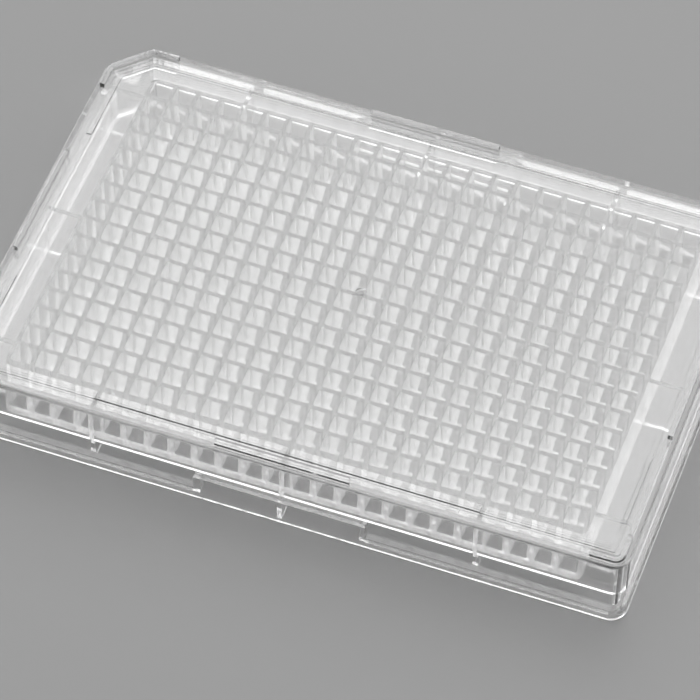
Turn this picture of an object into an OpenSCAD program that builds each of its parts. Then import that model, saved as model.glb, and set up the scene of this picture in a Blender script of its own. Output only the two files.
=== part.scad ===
// Multiwell plate of 384 square wells with its loose lid, both injection moulded in clear plastic.
// Millimetres, +Z up. The origin is the centre of the base, and well A1 is at the -X, +Y corner.

/* [Plate footprint] */
// Length of the base flange
plate_length = 127.76; // [124:0.01:132]
// Width of the base flange
plate_width = 85.48; // [83:0.01:90]
// Height of the plate, from the foot of its base to its deck
plate_height = 14.2; // [11:0.1:20]
// Radius of the base's three round corners
corner_radius = 3.2; // [2.8:0.1:5]
// Leg of the bevel that marks the corner of well A1
corner_cut = 7.2; // [5:0.1:9]
// Radius that blends the bevel into the two sides
bevel_radius = 3; // [2.8:0.1:5]

/* [Plate walls] */
// Thickness of the skirt and of the base flange
skirt_wall = 1.2; // [0.9:0.05:1.4]
// How far the base flange stands out from the skirt
flange_step = 1.6; // [1.4:0.05:2]
// Height of the base flange
flange_height = 2.4; // [2.2:0.1:3.5]
// Thickness of the deck that joins the wells to the skirt
deck_thickness = 1.2; // [0.8:0.1:2]
// Length of the raised grip panel at the middle of each long side
panel_length = 32.4; // [20:0.1:60]
// Height of the grip panel's ledge above the foot
panel_height = 6.5; // [4:0.1:7]

/* [Wells] */
// Number of columns, along X
columns = 24; // [12:1:24]
// Number of rows, along Y
rows = 16; // [8:1:16]
// Distance from one well's centre to the next, both ways
pitch = 4.5; // [4.3:0.05:4.6]
// Width of a square well at its mouth
well_mouth = 3.65; // [3:0.05:3.8]
// Width of a square well at its floor
well_floor = 3.3; // [2.6:0.05:3.4]
// Height of the wells' floors above the foot of the base
floor_height = 3.2; // [2:0.1:6]
// Thickness of the plastic under a well
floor_thickness = 1.1; // [0.6:0.1:1.6]
// Thickness of the wall round the block of wells
block_wall = 0.9; // [0.6:0.05:1.2]
// Radius of the block's upright corners
block_radius = 1.2; // [0.5:0.1:1.8]

/* [Webs under the deck] */
// Thickness of each web between the block and the skirt
web_thickness = 0.9; // [0.6:0.1:1.4]
// Height of the webs' lower edges above the foot of the base
web_foot = 0.7; // [0.3:0.1:1.5]
// Wells between two webs along the long sides
long_web_wells = 8; // [4:1:10]
// Wells between two webs along the short sides
short_web_wells = 7; // [3:1:7]

/* [Lid shell] */
// Clearance between the skirt and the inside of the lid
lid_clearance = 0.22; // [0.1:0.02:0.35]
// Thickness of the lid's side wall
lid_wall = 1; // [0.8:0.05:1.05]
// Thickness of the lid's top
lid_top = 1; // [0.8:0.1:1.6]
// Gap between the grip panel's ledge and the lid's rim, where fingers lift the lid
lift_gap = 0.9; // [0.6:0.1:3]

/* [Lid ridge and lugs] */
// Height of the foot ring that holds the lid's top clear of the wells
foot_height = 0.2; // [0.1:0.05:0.5]
// Distance from the lid's edge to the ring
ring_inset = 3; // [2.6:0.1:3.2]
// Width of the ring
ring_width = 1; // [0.6:0.1:1.2]
// Height of the low ridge that runs round the lid's top
ridge_height = 0.15; // [0.1:0.05:0.4]
// Height of the bars that stand on that ridge, one on each long side and two on each short side
bar_height = 0.2; // [0.1:0.05:0.8]
// Half the length of the long bars
long_bar_reach = 36; // [20:0.5:45]
// Where the short bars start, measured from the middle of the side
short_bar_start = 18; // [15:0.5:22]
// Length of the short bars
short_bar_length = 15; // [8:0.5:16]
// Clearance between the lugs on the lid and the base of a plate stacked on it
stack_clearance = 0.1; // [0.05:0.01:0.25]
// Width of the lugs
lug_width = 0.9; // [0.6:0.05:1.1]
// Length of the lug at the middle of each side
side_lug_length = 25; // [15:0.5:30]
// How far a lug runs along both sides from a round corner
corner_lug_reach = 7; // [5:0.5:10]
// How far the lug at the bevelled corner runs along both sides
bevel_lug_reach = 12.5; // [11:0.5:15]
// Diameter of the moulding gate's recess at the middle of the lid
gate_diameter = 2.2; // [1.5:0.1:4]
// Depth of that recess
gate_depth = 0.3; // [0.1:0.05:0.5]
// Diameter of the gate's stub in the recess
gate_stub = 0.9; // [0.5:0.1:1.2]

/* [Hidden] */
$fn = 64;
// Smallest radius that an inner outline's corners close to
least_radius = 0.3;
// Overrun that carries a cut past a face, or a web into the wall it joins
lap = 0.5;
plate_colour = [0.80, 0.84, 0.86];
lid_colour = [0.90, 0.93, 0.95];

skirt_inner = flange_step + skirt_wall;
deck_underside = plate_height - deck_thickness;
well_depth = plate_height - floor_height;
block_bottom = floor_height - floor_thickness;
block_length = (columns - 1) * pitch + well_mouth + 2 * block_wall;
block_width = (rows - 1) * pitch + well_mouth + 2 * block_wall;

lid_inset = flange_step - lid_clearance - lid_wall;
lid_underside = plate_height + foot_height;
lid_face = lid_underside + lid_top;
lid_rim = panel_height + lift_gap;

// The lugs reach up into the hollow of the flange of a plate stacked on the lid.
lug_inset = skirt_wall + stack_clearance;
lug_height = flange_height - skirt_wall - stack_clearance;

// Inset of a parallel outline shortens a 45 degree bevel's leg by this share of the inset.
bevel_loss = 2 - sqrt(2);

// The footprint's outline, moved inwards by inset.
module outline(inset = 0) {
    half_length = plate_length / 2 - inset;
    half_width = plate_width / 2 - inset;
    round = max(corner_radius - inset, least_radius);
    blend = max(bevel_radius - inset, least_radius);
    cut = corner_cut - bevel_loss * inset;
    // Distance from a bevel's corner to where its blend starts
    reach = blend * tan(22.5);
    x = half_length - round;
    y = half_width - round;
    left_blend = [-half_length + blend, half_width - cut - reach];
    back_blend = [-half_length + cut + reach, half_width - blend];
    slant = blend * [-sin(45), cos(45)];
    polygon([
        [half_length, -y], [half_length, y], [x, half_width],
        [back_blend.x, half_width], back_blend + slant,
        left_blend + slant, [-half_length, left_blend.y],
        [-half_length, -y], [-x, -half_width], [x, -half_width]
    ]);
    for (centre = [[x, y], [x, -y], [-x, -y]])
        translate(centre) circle(r = round);
    for (centre = [left_blend, back_blend])
        translate(centre) circle(r = blend);
}

// A solid of the outline between two heights.
module slab(inset, bottom, top) {
    translate([0, 0, bottom]) linear_extrude(height = top - bottom) outline(inset);
}

// A ring of the outline between two heights.
module ring(inset, width, bottom, top) {
    translate([0, 0, bottom])
        linear_extrude(height = top - bottom)
            difference() {
                outline(inset);
                outline(inset + width);
            }
}

// A box centred on x and y between two heights.
module block(length, width, bottom, top) {
    translate([-length / 2, -width / 2, bottom]) cube([length, width, top - bottom]);
}

// The outside of the skirt, with its base flange and the two grip panels.
module skirt_outside() {
    slab(0, 0, flange_height);
    slab(flange_step, 0, plate_height);
    intersection() {
        slab(0, 0, panel_height);
        block(panel_length, plate_width, 0, panel_height);
    }
}

// The hollow under the deck, which follows the flange and the panels at one wall thickness.
module skirt_inside() {
    slab(skirt_wall, -lap, flange_height - skirt_wall);
    slab(skirt_inner, -lap, deck_underside);
    intersection() {
        slab(skirt_wall, -lap, panel_height - skirt_wall);
        block(panel_length - 2 * skirt_wall, plate_width, -lap, panel_height - skirt_wall);
    }
}

// The solid block that the wells are sunk into.
module well_block() {
    x = block_length / 2 - block_radius;
    y = block_width / 2 - block_radius;
    translate([0, 0, block_bottom])
        linear_extrude(height = plate_height - block_bottom) {
            square([block_length, 2 * y], center = true);
            square([2 * x, block_width], center = true);
            for (side = [-1, 1], end = [-1, 1])
                translate([side * x, end * y]) circle(r = block_radius);
        }
}

// One upright web along +Y, from the wall of the block or the skirt into the next wall out.
module web(near, far, top) {
    translate([-web_thickness / 2, near, web_foot])
        cube([web_thickness, far - near, top - web_foot]);
}

// Webs that tie the block to the skirt under the deck. The middle one of each long side runs on into the panel.
module webs() {
    into_deck = deck_underside + deck_thickness / 2;
    from_end = (block_length - block_wall) / 2;
    from_side = (block_width - block_wall) / 2;
    skirt_middle = flange_step + skirt_wall / 2;
    for (turn = [0, 180])
        rotate([0, 0, turn]) {
            for (place = [-1, 0, 1])
                translate([place * long_web_wells * pitch, 0, 0])
                    web(from_side, plate_width / 2 - skirt_middle, into_deck);
            web(from_side, (plate_width - skirt_wall) / 2, panel_height - skirt_wall / 2);
        }
    for (turn = [90, 270])
        rotate([0, 0, turn])
            for (place = [-1, 0, 1])
                translate([place * short_web_wells * pitch, 0, 0])
                    web(from_end, plate_length / 2 - skirt_middle, into_deck);
}

// The section of a row of wells: a wedge from the floor to past the mouth, with one straight draft.
module well_section() {
    draft = (well_mouth - well_floor) / 2 / well_depth;
    low = well_floor / 2;
    high = well_mouth / 2 + draft * lap;
    polygon([
        [-low, floor_height], [low, floor_height],
        [high, plate_height + lap], [-high, plate_height + lap]
    ]);
}

// Wells: wedges along Y cross wedges along X, and what they share is one tapered square well each.
module wells() {
    intersection() {
        union()
            for (column = [0 : columns - 1])
                translate([(column - (columns - 1) / 2) * pitch, 0, 0])
                    rotate([90, 0, 0])
                        linear_extrude(height = rows * pitch, center = true) well_section();
        union()
            for (row = [0 : rows - 1])
                translate([0, (row - (rows - 1) / 2) * pitch, 0])
                    rotate([90, 0, 90])
                        linear_extrude(height = columns * pitch, center = true) well_section();
    }
}

module plate() {
    color(plate_colour)
        difference() {
            union() {
                difference() {
                    skirt_outside();
                    skirt_inside();
                }
                well_block();
                webs();
            }
            wells();
        }
}

// The top and the side wall.
module lid_shell() {
    difference() {
        slab(lid_inset, lid_rim, lid_face);
        slab(lid_inset + lid_wall, lid_rim - lap, lid_underside);
    }
}

// The foot ring under the top, and the low ridge over it.
module lid_ridge() {
    ring(lid_inset + ring_inset, ring_width, plate_height, lid_face + ridge_height);
}

// The taller bars of the ridge: one on each long side, and a pair on each short side.
module ridge_bars() {
    top = lid_face + ridge_height + bar_height;
    short_bar_middle = short_bar_start + short_bar_length / 2;
    intersection() {
        ring(lid_inset + ring_inset, ring_width, lid_face, top);
        union() {
            block(2 * long_bar_reach, plate_width, lid_face, top);
            for (end = [-1, 1])
                translate([0, end * short_bar_middle, 0])
                    block(plate_length, short_bar_length, lid_face, top);
        }
    }
}

// Lugs at the corners and at the middle of each side, which centre the plate stacked on top.
module stacking_lugs() {
    top = lid_face + lug_height;
    x = plate_length / 2 - lid_inset;
    y = plate_width / 2 - lid_inset;
    intersection() {
        ring(lug_inset, lug_width, lid_face, top);
        union() {
            block(side_lug_length, plate_width, lid_face, top);
            block(plate_length, side_lug_length, lid_face, top);
            for (corner = [[x, y], [x, -y], [-x, -y]])
                translate(corner)
                    block(2 * corner_lug_reach, 2 * corner_lug_reach, lid_face, top);
            translate([-x, y])
                block(2 * bevel_lug_reach, 2 * bevel_lug_reach, lid_face, top);
        }
    }
}

module lid() {
    color(lid_colour)
        difference() {
            union() {
                lid_shell();
                lid_ridge();
                ridge_bars();
                stacking_lugs();
            }
            translate([0, 0, lid_face - gate_depth])
                difference() {
                    cylinder(d = gate_diameter, h = gate_depth + lap);
                    cylinder(d = gate_stub, h = gate_depth + lap);
                }
        }
}

plate();
lid();
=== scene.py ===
"""Looks of a clear plastic multiwell plate with its loose lid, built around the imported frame.

Both mouldings are shaped in millimetres with bmesh operators and written out in metres, in the
frame's own axes: the origin is the centre of the base, and the bevelled corner of the first well
is at -X, +Y.
"""

from __future__ import annotations

import logging
import math
from dataclasses import dataclass, field
from enum import Enum
from typing import Callable, Iterable, Sequence

import bmesh
import bpy
from bmesh.types import BMEdge, BMesh, BMFace, BMVert
from mathutils import Matrix, Vector


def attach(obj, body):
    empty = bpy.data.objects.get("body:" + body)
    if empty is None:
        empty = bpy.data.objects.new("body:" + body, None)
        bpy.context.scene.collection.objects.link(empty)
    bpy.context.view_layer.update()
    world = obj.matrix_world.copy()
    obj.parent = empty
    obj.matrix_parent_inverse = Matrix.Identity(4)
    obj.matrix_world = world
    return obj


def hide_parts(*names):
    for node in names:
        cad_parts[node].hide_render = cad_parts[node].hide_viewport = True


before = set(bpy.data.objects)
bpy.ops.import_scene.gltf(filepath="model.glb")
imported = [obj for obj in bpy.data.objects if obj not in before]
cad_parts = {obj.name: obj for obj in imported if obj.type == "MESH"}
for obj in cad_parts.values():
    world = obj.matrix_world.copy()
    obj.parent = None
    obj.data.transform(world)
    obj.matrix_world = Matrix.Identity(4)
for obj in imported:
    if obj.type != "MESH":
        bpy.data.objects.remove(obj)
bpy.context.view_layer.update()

LOG = logging.getLogger("well_plate")
METRES_PER_MM = 0.001
# Distance in millimetres under which two heights or places count as the same
FLAT = 1e-4
# Limits that every face lies within
EVERYWHERE = (-1e3, 1e3)
# Bevel profile of a round edge
ROUND = 0.5
# Share of an inset by which a 45 degree bevel's leg grows shorter
BEVEL_LOSS = 2 - math.sqrt(2)
# Half the turn in degrees at each end of a 45 degree bevel
HALF_BEVEL_TURN = 22.5
# Turn in degrees from which an edge counts as sharp
SHARP_TURN = 30.0
# Turn in degrees from which an edge stays hard in shading
HARD_TURN = 50.0
# Most that a face may be warped, in degrees
WARP = 5.0
# Weight that keeps the shading of flat faces flat
FLAT_WEIGHT = 100
Span = tuple[float, float]


class Axis(Enum):
    """Directions that a cutting plane can face."""

    X = Vector((1.0, 0.0, 0.0))
    Y = Vector((0.0, 1.0, 0.0))


class Zone(Enum):
    """Parts of the plate's underside, each with a roof at its own height."""

    WEB = "web"
    FLANGE = "flange"
    BLOCK = "block"
    PANEL = "panel"
    POCKET = "pocket"


# ------------------------------------------------------------------------------------- shapes


@dataclass(frozen=True)
class Footprint:
    """Outline that both mouldings share: round corners, and a bevel at the first well's corner."""

    length: float = 127.76
    width: float = 85.48
    corner_radius: float = 3.2
    corner_cut: float = 7.2
    bevel_radius: float = 3.0
    least_radius: float = 0.3
    corner_steps: int = 8
    bevel_steps: int = 5

    def face(self, mesh: BMesh, inset: float, height: float) -> BMFace:
        """Adds the outline as one flat face.

        Args:
            mesh: The mesh that receives the face.
            inset: Distance from the footprint's edge in to the outline.
            height: Height of the face.

        Returns:
            The new face, which looks up.
        """
        made = bmesh.ops.create_grid(mesh, x_segments=1, y_segments=1, size=1 / 2)
        corners: list[BMVert] = made["verts"]
        plan = Vector((self.length - 2 * inset, self.width - 2 * inset, 1.0))
        bmesh.ops.scale(mesh, vec=plan, verts=corners)
        bmesh.ops.translate(mesh, vec=Vector((0.0, 0.0, height)), verts=corners)
        first_well = min(corners, key=lambda v: v.co.x - v.co.y)
        square = [v for v in corners if v is not first_well]
        bevel_ends = self._round(mesh, [first_well], self.corner_cut - BEVEL_LOSS * inset, 1)
        radius = max(self.corner_radius - inset, self.least_radius)
        self._round(mesh, square, radius, self.corner_steps)
        blend_radius = max(self.bevel_radius - inset, self.least_radius)
        blend = blend_radius * math.tan(math.radians(HALF_BEVEL_TURN))
        outline = self._round(mesh, bevel_ends, blend, self.bevel_steps)[0].link_faces[0]
        outline.normal_update()
        return outline

    @staticmethod
    def _round(mesh: BMesh, corners: Sequence[BMVert], reach: float, steps: int) -> list[BMVert]:
        """Rounds flat corners.

        Args:
            mesh: The mesh that holds the corners.
            corners: The corner points.
            reach: How far each rounding runs along both sides.
            steps: Number of edges in each rounding. One gives a straight bevel.

        Returns:
            The points of the roundings.
        """
        made = bmesh.ops.bevel(
            mesh,
            geom=list(corners),
            offset=reach,
            offset_type="OFFSET",
            segments=steps,
            profile=ROUND,
            affect="VERTICES",
            material=-1,
        )
        return made["verts"]


class Moulding:
    """A closed mesh in millimetres, and the operators that shape both mouldings."""

    def __init__(self, outline: Footprint) -> None:
        """Starts with an empty mesh.

        Args:
            outline: The footprint that the moulding follows.
        """
        self.outline = outline
        self.mesh: BMesh = bmesh.new()

    def nest(self, face: BMFace, inset: float, height: float) -> tuple[BMFace, list[BMFace]]:
        """Swaps a level face for a narrower outline, with a band between the two.

        Args:
            face: The face to swap.
            inset: Distance from the footprint's edge in to the new outline.
            height: Height of the new face.

        Returns:
            The new face, and the faces of the band.
        """
        rim = list(face.edges)
        face.normal_update()
        looks_down = face.normal.z < 0
        bmesh.ops.delete(self.mesh, geom=[face], context="FACES_ONLY")
        inner = self.outline.face(self.mesh, inset, height)
        if looks_down:
            bmesh.ops.reverse_faces(self.mesh, faces=[inner])
        band = bmesh.ops.bridge_loops(self.mesh, edges=rim + list(inner.edges))["faces"]
        return inner, band

    def lift(self, faces: Sequence[BMFace], rise: float, keep: bool = False) -> list[BMFace]:
        """Extrudes joined faces straight up, or down for a negative rise.

        Args:
            faces: The faces to extrude.
            rise: Distance to move them.
            keep: Whether the old faces stay, as the underside of a new solid.

        Returns:
            The moved faces.
        """
        made = bmesh.ops.extrude_face_region(self.mesh, geom=list(faces))["geom"]
        if not keep:
            bmesh.ops.delete(self.mesh, geom=list(faces), context="FACES")
        moved = [g for g in made if isinstance(g, BMVert)]
        bmesh.ops.translate(self.mesh, vec=Vector((0.0, 0.0, rise)), verts=moved)
        if keep:
            bmesh.ops.recalc_face_normals(self.mesh, faces=list(self.mesh.faces))
        return [g for g in made if isinstance(g, BMFace)]

    def split(self, faces: Sequence[BMFace], axis: Axis, places: Iterable[float]) -> list[BMFace]:
        """Cuts faces across.

        Args:
            faces: The faces to cut.
            axis: Direction that the cutting planes face.
            places: Positions of the planes along that axis.

        Returns:
            All the faces that the cuts leave.
        """
        pieces = list(faces)
        for place in places:
            edges = {e for f in pieces for e in f.edges}
            points = {v for f in pieces for v in f.verts}
            made = bmesh.ops.bisect_plane(
                self.mesh,
                geom=[*pieces, *edges, *points],
                dist=FLAT,
                plane_co=axis.value * place,
                plane_no=axis.value,
            )
            pieces = [g for g in made["geom"] if isinstance(g, BMFace)]
        return pieces

    def sharp(self, wanted: Callable[[BMEdge], bool]) -> list[BMEdge]:
        """Finds sharp edges.

        Args:
            wanted: Test that an edge has to pass.

        Returns:
            The edges found.
        """
        limit = math.radians(SHARP_TURN)
        return [e for e in self.mesh.edges if e.calc_face_angle(0.0) > limit and wanted(e)]

    def soften(self, edges: Sequence[BMEdge], radius: float, steps: int = 2) -> None:
        """Rounds edges.

        Args:
            edges: The edges to round.
            radius: The most that the rounding reaches from an edge. One corner that has less room
                for it makes it less for the whole call.
            steps: Number of faces across the rounding.
        """
        bmesh.ops.bevel(
            self.mesh,
            geom=list(edges),
            offset=radius,
            offset_type="OFFSET",
            segments=steps,
            profile=ROUND,
            affect="EDGES",
            material=-1,
            clamp_overlap=True,
            loop_slide=True,
        )

    def write(self, name: str) -> bpy.types.Object:
        """Turns the moulding into an object in metres.

        Args:
            name: Name of the object.

        Returns:
            The object, linked to the scene, with shading that keeps its flat faces flat.
        """
        bmesh.ops.recalc_face_normals(self.mesh, faces=list(self.mesh.faces))
        open_edges = sum(1 for e in self.mesh.edges if not e.is_manifold)
        volume = self.mesh.calc_volume(signed=True)
        faces = len(self.mesh.faces)
        LOG.info("%s: %d faces, %.0f mm3, %d open edges", name, faces, volume, open_edges)
        shrink = Vector((METRES_PER_MM, METRES_PER_MM, METRES_PER_MM))
        bmesh.ops.scale(self.mesh, vec=shrink, verts=list(self.mesh.verts))
        for face in self.mesh.faces:
            face.smooth = True
        for edge in self.mesh.edges:
            edge.smooth = edge.calc_face_angle(0.0) < math.radians(HARD_TURN)
        data = bpy.data.meshes.new(name)
        self.mesh.to_mesh(data)
        self.mesh.free()
        piece = bpy.data.objects.new(name, data)
        bpy.context.scene.collection.objects.link(piece)
        weights = piece.modifiers.new("flat_faces_stay_flat", "WEIGHTED_NORMAL")
        weights.mode = "FACE_AREA"
        weights.weight = FLAT_WEIGHT
        weights.keep_sharp = True
        return piece


def within(faces: Iterable[BMFace], x: Span = EVERYWHERE, y: Span = EVERYWHERE) -> list[BMFace]:
    """Picks faces by where they lie.

    Args:
        faces: The faces to choose from.
        x: Limits of a face's centre along X.
        y: Limits of a face's centre along Y.

    Returns:
        The faces whose centres lie within both limits.
    """
    found = []
    for face in faces:
        middle = face.calc_center_bounds()
        if x[0] <= middle.x <= x[1] and y[0] <= middle.y <= y[1]:
            found.append(face)
    return found


def lies_at(edge: BMEdge, height: float) -> bool:
    """Tells whether an edge lies level at a height."""
    return all(abs(v.co.z - height) < FLAT for v in edge.verts)


@dataclass
class WellField:
    """The deck's grid of square tapered wells."""

    columns: int = 24
    rows: int = 16
    pitch: float = 4.5
    mouth: float = 3.65
    floor: float = 3.3
    top: float = 14.2
    bottom: float = 3.2
    corner_radius: float = 0.15
    lip_radius: float = 0.12
    floor_radius: float = 0.25

    def build(self, plate: Moulding) -> list[BMEdge]:
        """Sinks one well in one square of deck and repeats it.

        Args:
            plate: The empty moulding that receives the wells.

        Returns:
            The open edges round the whole field.
        """
        mesh = plate.mesh
        self._one_well(plate)
        self._repeat(mesh, Vector((self.pitch, 0.0, 0.0)), self.columns)
        self._repeat(mesh, Vector((0.0, self.pitch, 0.0)), self.rows)
        bmesh.ops.remove_doubles(mesh, verts=list(mesh.verts), dist=FLAT)
        return [e for e in mesh.edges if e.is_boundary]

    def block(self, wall: float) -> tuple[float, float]:
        """Measures the block round the wells.

        Args:
            wall: Thickness of the block's wall outside the outer wells.

        Returns:
            Half the block's length, and half its width.
        """
        half_x = ((self.columns - 1) * self.pitch + self.mouth) / 2 + wall
        half_y = ((self.rows - 1) * self.pitch + self.mouth) / 2 + wall
        return half_x, half_y

    def _one_well(self, plate: Moulding) -> None:
        """Makes the first column's well in the nearest row.

        Args:
            plate: The moulding that receives it.
        """
        mesh = plate.mesh
        made = bmesh.ops.create_grid(mesh, x_segments=1, y_segments=1, size=self.pitch / 2)
        start = Vector((-(self.columns - 1) / 2, -(self.rows - 1) / 2, 0.0)) * self.pitch
        bmesh.ops.translate(mesh, vec=start + Vector((0.0, 0.0, self.top)), verts=made["verts"])
        deck = made["verts"][0].link_faces[0]
        land = (self.pitch - self.mouth) / 2
        bmesh.ops.inset_region(
            mesh, faces=[deck], thickness=land, use_boundary=True, use_even_offset=True
        )
        base = plate.lift([deck], self.bottom - self.top)[0]
        share = self.floor / self.mouth
        here = Matrix.Translation(-start)
        bmesh.ops.scale(mesh, vec=Vector((share, share, 1.0)), space=here, verts=list(base.verts))
        upright = [e for e in mesh.edges if abs(e.verts[0].co.z - e.verts[1].co.z) > self.pitch]
        plate.soften(upright, self.corner_radius, 1)
        plate.soften(plate.sharp(lambda e: lies_at(e, self.bottom)), self.floor_radius, 1)
        plate.soften(plate.sharp(lambda e: lies_at(e, self.top)), self.lip_radius)

    @staticmethod
    def _repeat(mesh: BMesh, step: Vector, count: int) -> None:
        """Copies everything in a mesh along a line.

        Args:
            mesh: The mesh to fill.
            step: Move from one copy to the next.
            count: Number of copies, with the first.
        """
        pattern = list(mesh.verts) + list(mesh.edges) + list(mesh.faces)
        for place in range(1, count):
            copy = bmesh.ops.duplicate(mesh, geom=pattern)["geom"]
            points = [g for g in copy if isinstance(g, BMVert)]
            bmesh.ops.translate(mesh, vec=step * place, verts=points)


@dataclass
class Plate:
    """The plate: wells in a deck, a skirt on a hollow base flange, grip panels, and webs below."""

    outline: Footprint
    wells: WellField = field(default_factory=WellField)
    height: float = 14.2
    deck_thickness: float = 1.2
    skirt_wall: float = 1.2
    flange_step: float = 1.6
    flange_height: float = 2.4
    panel_reach: float = 16.2
    panel_height: float = 6.5
    floor_thickness: float = 1.1
    block_wall: float = 0.9
    block_radius: float = 1.2
    web_thickness: float = 0.9
    web_foot: float = 0.7
    webs_along: tuple[float, ...] = (-36.0, 0.0, 36.0)
    webs_across: tuple[float, ...] = (-31.5, 0.0, 31.5)
    block_steps: int = 4
    shoulder: float = 0.9
    shoulder_steps: int = 4
    main_edge: float = 0.25
    main_steps: int = 3
    fine_edge: float = 0.15

    def build(self) -> bpy.types.Object:
        """Builds the plate.

        Returns:
            The finished object.
        """
        plate = Moulding(self.outline)
        field_rim = self.wells.build(plate)
        foot = self.outline.face(plate.mesh, 0.0, 0.0)
        deck = self._outside(plate, foot)
        main_edges = [*deck.edges, *foot.edges]
        self._underside(plate, foot)
        deck, _ = plate.nest(deck, self.flange_step + self.skirt_wall, self.height)
        deck_rim = list(deck.edges)
        bmesh.ops.delete(plate.mesh, geom=[deck], context="FACES_ONLY")
        bmesh.ops.bridge_loops(plate.mesh, edges=deck_rim + field_rim)
        bmesh.ops.recalc_face_normals(plate.mesh, faces=list(plate.mesh.faces))
        self._soften(plate, main_edges)
        return plate.write("plate_moulding")

    def _outside(self, plate: Moulding, foot: BMFace) -> BMFace:
        """Raises the flange, the grip panels and the skirt from the foot.

        Args:
            plate: The moulding.
            foot: The face that the plate stands on.

        Returns:
            The level face at the top of the skirt.
        """
        top = plate.lift([foot], self.flange_height, keep=True)[0]
        deck, ledge = plate.nest(top, self.flange_step, self.flange_height)
        panels = self._panels(plate, ledge, self.panel_reach)
        tops = plate.lift([deck, *panels], self.panel_height - self.flange_height)
        deck = max(tops, key=lambda f: f.calc_area())
        edge = self.outline.width / 2 - FLAT
        sides = [f for f in plate.mesh.faces if abs(f.calc_center_bounds().y) > edge]
        plate.split(sides, Axis.X, (-self.panel_reach, self.panel_reach))
        return plate.lift([deck], self.height - self.panel_height)[0]

    @staticmethod
    def _panels(plate: Moulding, band: Sequence[BMFace], reach: float) -> list[BMFace]:
        """Cuts the middle of a band's two long sides free.

        Args:
            plate: The moulding.
            band: The level band.
            reach: Half the length to cut free.

        Returns:
            The two faces in the middle of the long sides.
        """
        sides = [f for f in band if abs(f.calc_center_bounds().x) < reach]
        return within(plate.split(sides, Axis.X, (-reach, reach)), x=(-reach, reach))

    def _underside(self, plate: Moulding, foot: BMFace) -> None:
        """Hollows the plate from below, one zone after another, up to the roof of each.

        Args:
            plate: The moulding.
            foot: The face that the plate stands on.
        """
        wall = self.skirt_wall
        roofs = {
            Zone.FLANGE: self.flange_height - wall,
            Zone.BLOCK: self.wells.bottom - self.floor_thickness,
            Zone.PANEL: self.panel_height - wall,
            Zone.POCKET: self.height - self.deck_thickness,
        }
        height = self.web_foot
        hollow, _ = plate.nest(foot, wall, 0.0)
        hollow = plate.lift([hollow], height)[0]
        hollow, band = plate.nest(hollow, self.flange_step + wall, height)
        faces = self._mark_out(plate, hollow, band)
        left = list(roofs)
        for zone, roof in roofs.items():
            faces = plate.lift([f for f in faces if self._zone(f) in left], roof - height)
            left.remove(zone)
            height = roof

    def _mark_out(self, plate: Moulding, hollow: BMFace, band: Sequence[BMFace]) -> list[BMFace]:
        """Cuts the underside along the edges of the block, the panels and the webs.

        Args:
            plate: The moulding.
            hollow: The level face inside the skirt.
            band: The level band between that face and the flange's wall.

        Returns:
            All the faces that the cuts leave.
        """
        half = self.web_thickness / 2
        reach = self.panel_reach - self.skirt_wall
        sides = [f for f in band if abs(f.calc_center_bounds().x) < reach]
        rest = [f for f in band if f not in sides]
        sides = plate.split(sides, Axis.X, (-reach, -half, half, reach))
        block_x, block_y = self.wells.block(self.block_wall)
        along = [place + side for place in self.webs_along for side in (-half, half)]
        across = [place + side for place in self.webs_across for side in (-half, half)]
        parts = plate.split([hollow], Axis.X, (-block_x, block_x, *along))
        parts = plate.split(parts, Axis.Y, (-block_y, block_y, *across))
        return [*rest, *sides, *parts]

    def _zone(self, face: BMFace) -> Zone:
        """Tells which zone of the underside a face belongs to.

        Args:
            face: One of the faces that the cuts leave.

        Returns:
            The face's zone.
        """
        at = face.calc_center_bounds()
        x, y = abs(at.x), abs(at.y)
        block_x, block_y = self.wells.block(self.block_wall)
        skirt = self.flange_step + self.skirt_wall
        half = self.web_thickness / 2
        if x > self.outline.length / 2 - skirt or y > self.outline.width / 2 - skirt:
            if x > self.panel_reach - self.skirt_wall:
                return Zone.FLANGE
            return Zone.WEB if x < half else Zone.PANEL
        if x < block_x and y < block_y:
            return Zone.BLOCK
        on_web = any(abs(at.x - place) < half for place in self.webs_along)
        on_web = on_web or any(abs(at.y - place) < half for place in self.webs_across)
        return Zone.WEB if on_web else Zone.POCKET

    def _soften(self, plate: Moulding, main: Sequence[BMEdge]) -> None:
        """Rounds the block's corners, the main edges, and every other sharp edge outside the wells.

        The last rounding comes out at about 0.04 mm, less than fine_edge asks for.

        Args:
            plate: The moulding.
            main: The edges at the top of the skirt and at the foot.
        """
        block_x, block_y = self.wells.block(self.block_wall)

        def on_block_corner(edge: BMEdge) -> bool:
            """Tells whether an edge is an upright corner of the block."""
            return all(
                abs(abs(v.co.x) - block_x) < FLAT and abs(abs(v.co.y) - block_y) < FLAT
                for v in edge.verts
            )

        plate.soften(plate.sharp(on_block_corner), self.block_radius, self.block_steps)
        plate.soften([e for e in main if e.is_valid], self.main_edge, self.main_steps)
        for height in (self.flange_height, self.panel_height):
            shoulders = plate.sharp(lambda e: e.is_convex and lies_at(e, height))
            plate.soften(shoulders, self.shoulder, self.shoulder_steps)
        field_x, field_y = self.wells.block(self.block_wall / 2)

        def outside_wells(edge: BMEdge) -> bool:
            """Tells whether an edge is clear of the wells and of the pockets' roofs."""
            return not lies_at(edge, self.height - self.deck_thickness) and any(
                abs(v.co.x) > field_x or abs(v.co.y) > field_y or v.co.z < self.wells.bottom - FLAT
                for v in edge.verts
            )

        plate.soften(plate.sharp(outside_wells), self.fine_edge)
        bmesh.ops.connect_verts_nonplanar(
            plate.mesh, angle_limit=math.radians(WARP), faces=list(plate.mesh.faces)
        )


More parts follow.
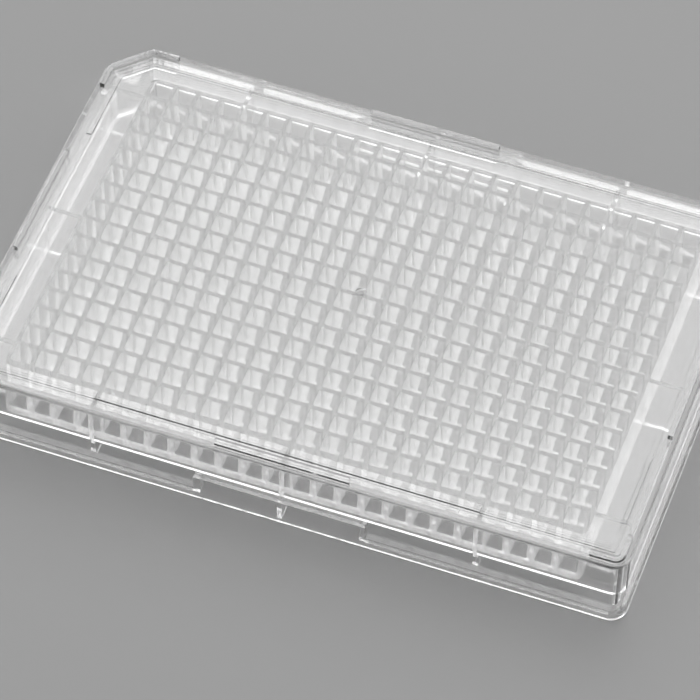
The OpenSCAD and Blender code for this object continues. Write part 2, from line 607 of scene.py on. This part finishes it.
@dataclass
class Lid:
    """The lid: a flat top, a side wall, a foot ring, a ridge with bars, lugs, and the gate's mark.

    The foot ends 0.03 mm above the deck, so that no two faces coincide. Only the top rim and the
    bars are rounded: some corners have no room for the last rounding, so that it leaves all the
    other edges sharp and adds faces without width.
    """

    outline: Footprint
    inset: float = 0.38
    wall: float = 1.0
    rim: float = 7.4
    foot: float = 14.23
    roof: float = 14.4
    face: float = 15.4
    lug_inset: float = 1.3
    lug_width: float = 0.9
    lug_height: float = 1.1
    side_lug: float = 12.5
    corner_lug: float = 7.0
    bevel_lug: float = 12.5
    ring_inset: float = 3.38
    ring_width: float = 1.0
    ridge_height: float = 0.15
    bar_height: float = 0.2
    long_bar: float = 36.0
    short_bar: Span = (18.0, 33.0)
    gate_radius: float = 1.1
    gate_stub: float = 0.45
    gate_depth: float = 0.3
    gate_clear: float = 2.5
    gate_cuts: int = 5
    main_edge: float = 0.35
    bar_edge: float = 0.17
    edge_steps: int = 3
    fine_edge: float = 0.1

    def build(self) -> bpy.types.Object:
        """Builds the lid.

        Returns:
            The finished object.
        """
        lid = Moulding(self.outline)
        rim = self.outline.face(lid.mesh, self.inset, self.rim)
        top = lid.lift([rim], self.face - self.rim, keep=True)[0]
        top_rim = list(top.edges)
        self._underneath(lid, rim)
        self._on_top(lid, top)
        bmesh.ops.recalc_face_normals(lid.mesh, faces=list(lid.mesh.faces))
        lid.soften(top_rim, self.main_edge, self.edge_steps)
        crest = self.face + self.ridge_height + self.bar_height
        lid.soften(lid.sharp(lambda e: lies_at(e, crest)), self.bar_edge, self.edge_steps)
        lid.soften(lid.sharp(lambda e: True), self.fine_edge)
        return lid.write("lid_moulding")

    def _underneath(self, lid: Moulding, rim: BMFace) -> None:
        """Hollows the lid and adds its foot ring.

        Args:
            lid: The moulding.
            rim: The face at the lid's lower edge.
        """
        hollow, _ = lid.nest(rim, self.inset + self.wall, self.rim)
        roof = lid.lift([hollow], self.roof - self.rim)[0]
        inner, _ = lid.nest(roof, self.ring_inset, self.roof)
        _, ring = lid.nest(inner, self.ring_inset + self.ring_width, self.roof)
        lid.lift(ring, self.foot - self.roof)

    def _on_top(self, lid: Moulding, top: BMFace) -> None:
        """Adds the lugs, the ridge, its bars and the gate's mark.

        Args:
            lid: The moulding.
            top: The lid's level top face.
        """
        inner, _ = lid.nest(top, self.lug_inset, self.face)
        inner, lug_band = lid.nest(inner, self.lug_inset + self.lug_width, self.face)
        inner, _ = lid.nest(inner, self.ring_inset, self.face)
        middle, ridge = lid.nest(inner, self.ring_inset + self.ring_width, self.face)
        self._lugs(lid, lug_band)
        self._ridge(lid, ridge)
        self._gate(lid, middle)

    def _lugs(self, lid: Moulding, band: Sequence[BMFace]) -> None:
        """Raises a lug at each corner and at the middle of each side.

        Args:
            lid: The moulding.
            band: The level band that the lugs stand on.
        """
        x = self.outline.length / 2 - self.inset
        y = self.outline.width / 2 - self.inset
        side, corner, bevel = self.side_lug, self.corner_lug, self.bevel_lug
        cuts_x = (-x + corner, -x + bevel, -side, side, x - corner)
        cuts_y = (-y + corner, -side, side, y - bevel, y - corner)
        parts = lid.split(lid.split(band, Axis.X, cuts_x), Axis.Y, cuts_y)
        lugs = [
            *within(parts, x=(-side, side)),
            *within(parts, y=(-side, side)),
            *within(parts, x=(x - corner, x), y=(y - corner, y)),
            *within(parts, x=(x - corner, x), y=(-y, -y + corner)),
            *within(parts, x=(-x, -x + corner), y=(-y, -y + corner)),
            *within(parts, x=(-x, -x + bevel), y=(y - bevel, y)),
        ]
        lid.lift(lugs, self.lug_height)

    def _ridge(self, lid: Moulding, band: Sequence[BMFace]) -> None:
        """Raises the ridge, and the bars on it.

        Args:
            lid: The moulding.
            band: The level band that the ridge stands on.
        """
        near, far = self.short_bar
        crest = lid.lift(band, self.ridge_height)
        parts = lid.split(crest, Axis.X, (-self.long_bar, self.long_bar))
        parts = lid.split(parts, Axis.Y, (-far, -near, near, far))
        bars = [
            *within(parts, x=(-self.long_bar, self.long_bar)),
            *within(parts, y=(near, far)),
            *within(parts, y=(-far, -near)),
        ]
        lid.lift(bars, self.bar_height)

    def _gate(self, lid: Moulding, middle: BMFace) -> None:
        """Sinks the round mark of the moulding gate, with its stub.

        Args:
            lid: The moulding.
            middle: The level face inside the ridge.
        """
        clear = self.gate_clear
        parts = lid.split(lid.split([middle], Axis.X, (-clear, clear)), Axis.Y, (-clear, clear))
        square = within(parts, (-clear, clear), (-clear, clear))[0]
        bmesh.ops.subdivide_edges(lid.mesh, edges=list(square.edges), cuts=self.gate_cuts)
        rim = list(square.edges)
        made = bmesh.ops.create_circle(
            lid.mesh, cap_ends=True, radius=self.gate_radius, segments=len(rim)
        )
        bmesh.ops.translate(lid.mesh, vec=Vector((0.0, 0.0, self.face)), verts=made["verts"])
        mark = made["verts"][0].link_faces[0]
        mark.normal_update()
        if mark.normal.z < 0:
            bmesh.ops.reverse_faces(lid.mesh, faces=[mark])
        bmesh.ops.delete(lid.mesh, geom=[square], context="FACES_ONLY")
        bmesh.ops.bridge_loops(lid.mesh, edges=rim + list(mark.edges))
        mark = lid.lift([mark], -self.gate_depth)[0]
        groove = self.gate_radius - self.gate_stub
        bmesh.ops.inset_region(lid.mesh, faces=[mark], thickness=groove, use_even_offset=True)
        lid.lift([mark], self.gate_depth)


# ----------------------------------------------------------------------------------- finishes


@dataclass(frozen=True)
class ClearPlastic:
    """Clear moulded polystyrene: glossy, faintly hazy, and slightly wavy as moulded faces are.

    Lengths are in metres. The roughness runs from polish to haze while the noise crosses its span.
    """

    name: str
    tint: tuple[float, float, float]
    index: float = 1.59
    polish: float = 0.02
    haze: float = 0.05
    haze_scale: float = 900.0
    haze_detail: float = 2.0
    haze_span: Span = (0.35, 0.75)
    wave_size: float = 0.012
    wave_detail: float = 1.0
    wave_height: float = 0.00002
    wave_strength: float = 0.35

    def material(self) -> bpy.types.Material:
        """Builds the node material.

        Returns:
            The material.
        """
        made = bpy.data.materials.new(self.name)
        made.use_nodes = True
        tree = made.node_tree
        shader = tree.nodes["Principled BSDF"]
        shader.inputs["Base Color"].default_value = (*self.tint, 1.0)
        shader.inputs["IOR"].default_value = self.index
        shader.inputs["Transmission Weight"].default_value = 1.0
        place = tree.nodes.new("ShaderNodeTexCoord")
        haze = tree.nodes.new("ShaderNodeTexNoise")
        haze.inputs["Scale"].default_value = self.haze_scale
        haze.inputs["Detail"].default_value = self.haze_detail
        gloss = tree.nodes.new("ShaderNodeMapRange")
        gloss.inputs["From Min"].default_value = self.haze_span[0]
        gloss.inputs["From Max"].default_value = self.haze_span[1]
        gloss.inputs["To Min"].default_value = self.polish
        gloss.inputs["To Max"].default_value = self.haze
        wave = tree.nodes.new("ShaderNodeTexNoise")
        wave.inputs["Scale"].default_value = 1.0 / self.wave_size
        wave.inputs["Detail"].default_value = self.wave_detail
        bump = tree.nodes.new("ShaderNodeBump")
        bump.inputs["Strength"].default_value = self.wave_strength
        bump.inputs["Distance"].default_value = self.wave_height
        tree.links.new(place.outputs["Object"], haze.inputs["Vector"])
        tree.links.new(place.outputs["Object"], wave.inputs["Vector"])
        tree.links.new(haze.outputs["Fac"], gloss.inputs["Value"])
        tree.links.new(gloss.outputs["Result"], shader.inputs["Roughness"])
        tree.links.new(wave.outputs["Fac"], bump.inputs["Height"])
        tree.links.new(bump.outputs["Normal"], shader.inputs["Normal"])
        return made


# ------------------------------------------------------------------------------------- studio


@dataclass(frozen=True)
class StudioFloor:
    """Pale matt surface, a hair's breadth under the object so that no two faces coincide."""

    tone: float = 0.27
    roughness: float = 0.45
    reach: float = 3.0
    drop: float = 0.00005

    def build(self) -> bpy.types.Object:
        """Builds the floor.

        Returns:
            The floor object.
        """
        mesh = bmesh.new()
        made = bmesh.ops.create_grid(mesh, x_segments=1, y_segments=1, size=self.reach)
        bmesh.ops.translate(mesh, vec=Vector((0.0, 0.0, -self.drop)), verts=made["verts"])
        data = bpy.data.meshes.new("studio_floor")
        mesh.to_mesh(data)
        mesh.free()
        piece = bpy.data.objects.new("studio_floor", data)
        bpy.context.scene.collection.objects.link(piece)
        made = bpy.data.materials.new("floor_paper")
        made.use_nodes = True
        shader = made.node_tree.nodes["Principled BSDF"]
        shader.inputs["Base Color"].default_value = (self.tone, self.tone, self.tone, 1.0)
        shader.inputs["Roughness"].default_value = self.roughness
        data.materials.append(made)
        return piece


@dataclass(frozen=True)
class Softbox:
    """A square area light that looks at the object."""

    name: str
    azimuth: float
    elevation: float
    distance: float
    size: float
    power: float

    def build(self) -> bpy.types.Object:
        """Hangs the light.

        Returns:
            The light object.
        """
        turn, rise = math.radians(self.azimuth), math.radians(self.elevation)
        level = math.cos(rise)
        away = Vector((-math.sin(turn) * level, math.cos(turn) * level, math.sin(rise)))
        data = bpy.data.lights.new(self.name, "AREA")
        data.shape = "SQUARE"
        data.size = self.size
        data.energy = self.power
        lamp = bpy.data.objects.new(self.name, data)
        lamp.location = away * self.distance
        lamp.rotation_euler = away.to_track_quat("Z", "Y").to_euler()
        bpy.context.scene.collection.objects.link(lamp)
        return lamp


@dataclass(frozen=True)
class Studio:
    """Floor, light, surroundings and camera. Angles are in degrees, lengths in metres."""

    floor: StudioFloor = StudioFloor()
    key: Softbox = Softbox(
        "key_softbox", azimuth=6.0, elevation=54.0, distance=1.3, size=1.3, power=6.5
    )
    surround: float = 0.85
    camera_place: tuple[float, float, float] = (0.162411, -0.481440, 0.633388)
    camera_azimuth: float = 18.8406
    camera_elevation: float = 51.3165
    camera_roll: float = 1.2408
    camera_clip: float = 0.01
    sensor_mm: float = 36.0
    focal_share: float = 4441.04 / 700.0
    clear_bounces: int = 48
    glossy_bounces: int = 24

    def build(self) -> None:
        """Sets up the studio."""
        self.floor.build()
        self.key.build()
        self._surround()
        self._camera()
        self._light_paths()

    def _surround(self) -> None:
        """Lights the object evenly from all sides."""
        world = bpy.data.worlds.new("studio_surround")
        world.use_nodes = True
        tone = (self.surround, self.surround, self.surround, 1.0)
        world.node_tree.nodes["Background"].inputs["Color"].default_value = tone
        bpy.context.scene.world = world

    def _camera(self) -> None:
        """Places the camera."""
        data = bpy.data.cameras.new("camera")
        data.sensor_width = self.sensor_mm
        data.lens = self.sensor_mm * self.focal_share
        data.clip_start = self.camera_clip
        camera = bpy.data.objects.new("camera", data)
        turn = Matrix.Rotation(math.radians(self.camera_azimuth), 4, "Z")
        tip = Matrix.Rotation(math.radians(90.0 - self.camera_elevation), 4, "X")
        roll = Matrix.Rotation(math.radians(self.camera_roll), 4, "Z")
        camera.matrix_world = Matrix.Translation(Vector(self.camera_place)) @ turn @ tip @ roll
        bpy.context.scene.collection.objects.link(camera)
        bpy.context.scene.camera = camera

    def _light_paths(self) -> None:
        """Lets light through the many clear walls, and keeps what lies behind them bright."""
        scene = bpy.context.scene
        scene.view_settings.view_transform = "Standard"
        scene.cycles.max_bounces = self.clear_bounces
        scene.cycles.transmission_bounces = self.clear_bounces
        scene.cycles.glossy_bounces = self.glossy_bounces
        scene.cycles.blur_glossy = 0.0
        scene.cycles.use_light_tree = False


# --------------------------------------------------------------------------------------- main


def main() -> None:
    """Builds the object and its studio, and reports each piece."""
    logging.basicConfig(level=logging.INFO, format="%(name)s: %(message)s")
    outline = Footprint()
    clear_plate = ClearPlastic("clear_plate", (0.997, 0.997, 0.997), polish=0.07, haze=0.13)
    clear_lid = ClearPlastic("clear_lid", (0.998, 0.998, 0.998))
    for builder, finish, node in (
        (Plate(outline), clear_plate, "plate"),
        (Lid(outline), clear_lid, "lid"),
    ):
        piece = builder.build()
        piece.data.materials.append(finish.material())
        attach(piece, "root")
        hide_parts(node)
        LOG.info("%s stands for the %s", piece.name, node)
    Studio().build()
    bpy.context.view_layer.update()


if __name__ == "__main__":
    main()
